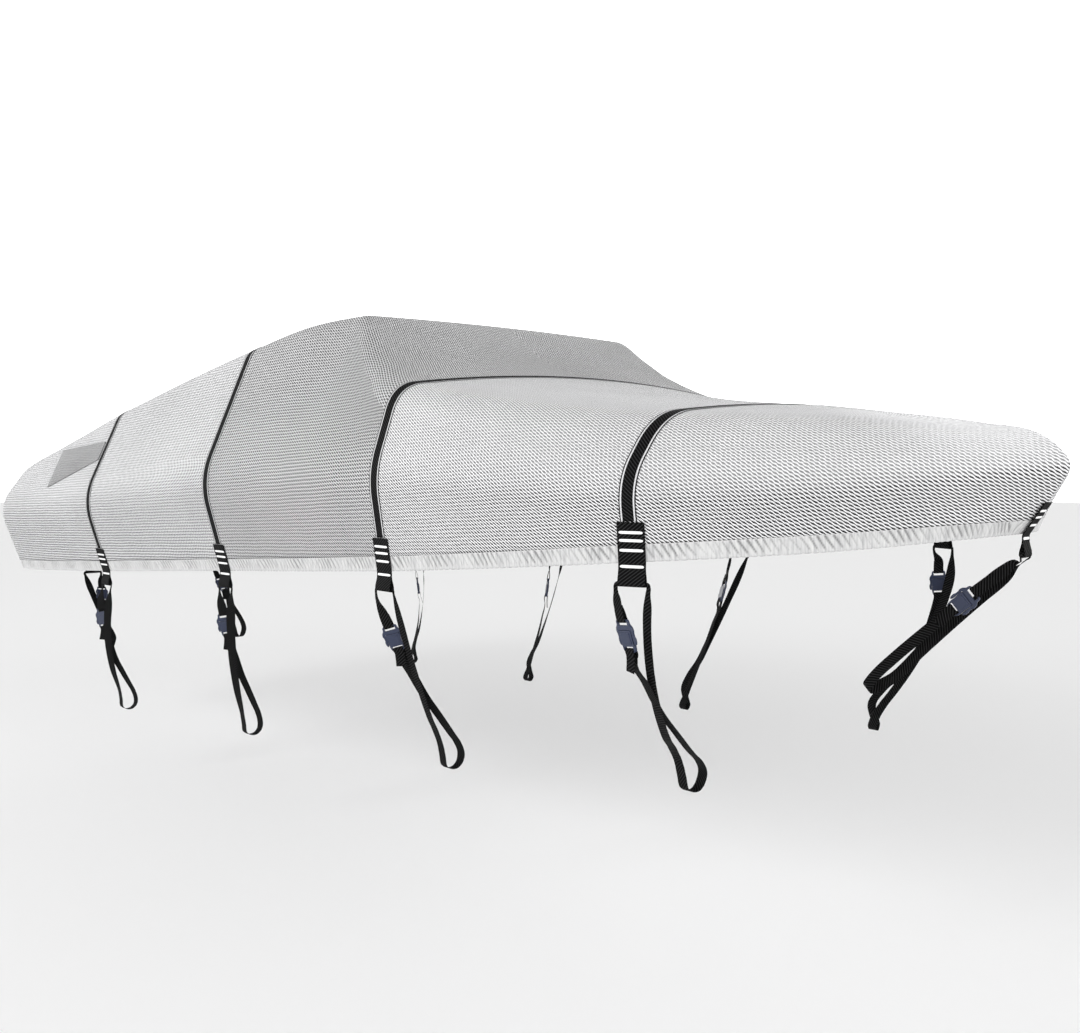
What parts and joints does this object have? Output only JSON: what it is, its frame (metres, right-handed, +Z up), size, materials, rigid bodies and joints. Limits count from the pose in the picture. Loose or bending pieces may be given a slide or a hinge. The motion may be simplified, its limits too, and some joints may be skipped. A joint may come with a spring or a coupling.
{
  "type": "fitted boat cover with ridge support point",
  "caption": "Fitted cloth cover in its stretched shape, held down by straps with side-release buckles at its hem.",
  "frame": {"origin": "the cloth's underside at the middle of the highest ridge, where a support under it holds the cover up", "axes": "+X towards the bow end, +Y to port, +Z up"},
  "size_m": [6.0242, 2.2964, 1.909],
  "materials": {
    "light_cloth": "matt coated weave",
    "dark_cloth": "matt coated weave",
    "black_webbing": "woven polypropylene",
    "blue_plastic": "moulded acetal, satin"
  },
  "bodies": {
    "root": {"cover_aft": "light_cloth", "cover_fore": "light_cloth", "cover_mid": "dark_cloth", "cross_strap_1": "black_webbing", "cross_strap_2": "black_webbing", "cross_strap_3": "black_webbing", "cross_strap_4": "black_webbing", "patch_far": "dark_cloth", "patch_near": "dark_cloth", "plug_bow": "blue_plastic", "plug_far_1": "blue_plastic", "plug_far_2": "blue_plastic", "plug_far_3": "blue_plastic", "plug_far_4": "blue_plastic", "plug_near_1": "blue_plastic", "plug_near_2": "blue_plastic", "plug_near_3": "blue_plastic", "plug_near_4": "blue_plastic", "plug_stern_far": "blue_plastic", "plug_stern_near": "blue_plastic", "socket_bow": "blue_plastic", "socket_far_1": "blue_plastic", "socket_far_2": "blue_plastic", "socket_far_3": "blue_plastic", "socket_far_4": "blue_plastic", "socket_near_1": "blue_plastic", "socket_near_2": "blue_plastic", "socket_near_3": "blue_plastic", "socket_near_4": "blue_plastic", "socket_stern_far": "blue_plastic", "socket_stern_near": "blue_plastic", "tab_bow": "black_webbing", "tab_far_1": "black_webbing", "tab_far_2": "black_webbing", "tab_far_3": "black_webbing", "tab_far_4": "black_webbing", "tab_near_1": "black_webbing", "tab_near_2": "black_webbing", "tab_near_3": "black_webbing", "tab_near_4": "black_webbing", "tab_stern_far": "black_webbing", "tab_stern_near": "black_webbing", "tie_bow": "black_webbing", "tie_far_1": "black_webbing", "tie_far_2": "black_webbing", "tie_far_3": "black_webbing", "tie_far_4": "black_webbing", "tie_near_1": "black_webbing", "tie_near_2": "black_webbing", "tie_near_3": "black_webbing", "tie_near_4": "black_webbing", "tie_stern_far": "black_webbing", "tie_stern_near": "black_webbing"}
  },
  "joints": []
}
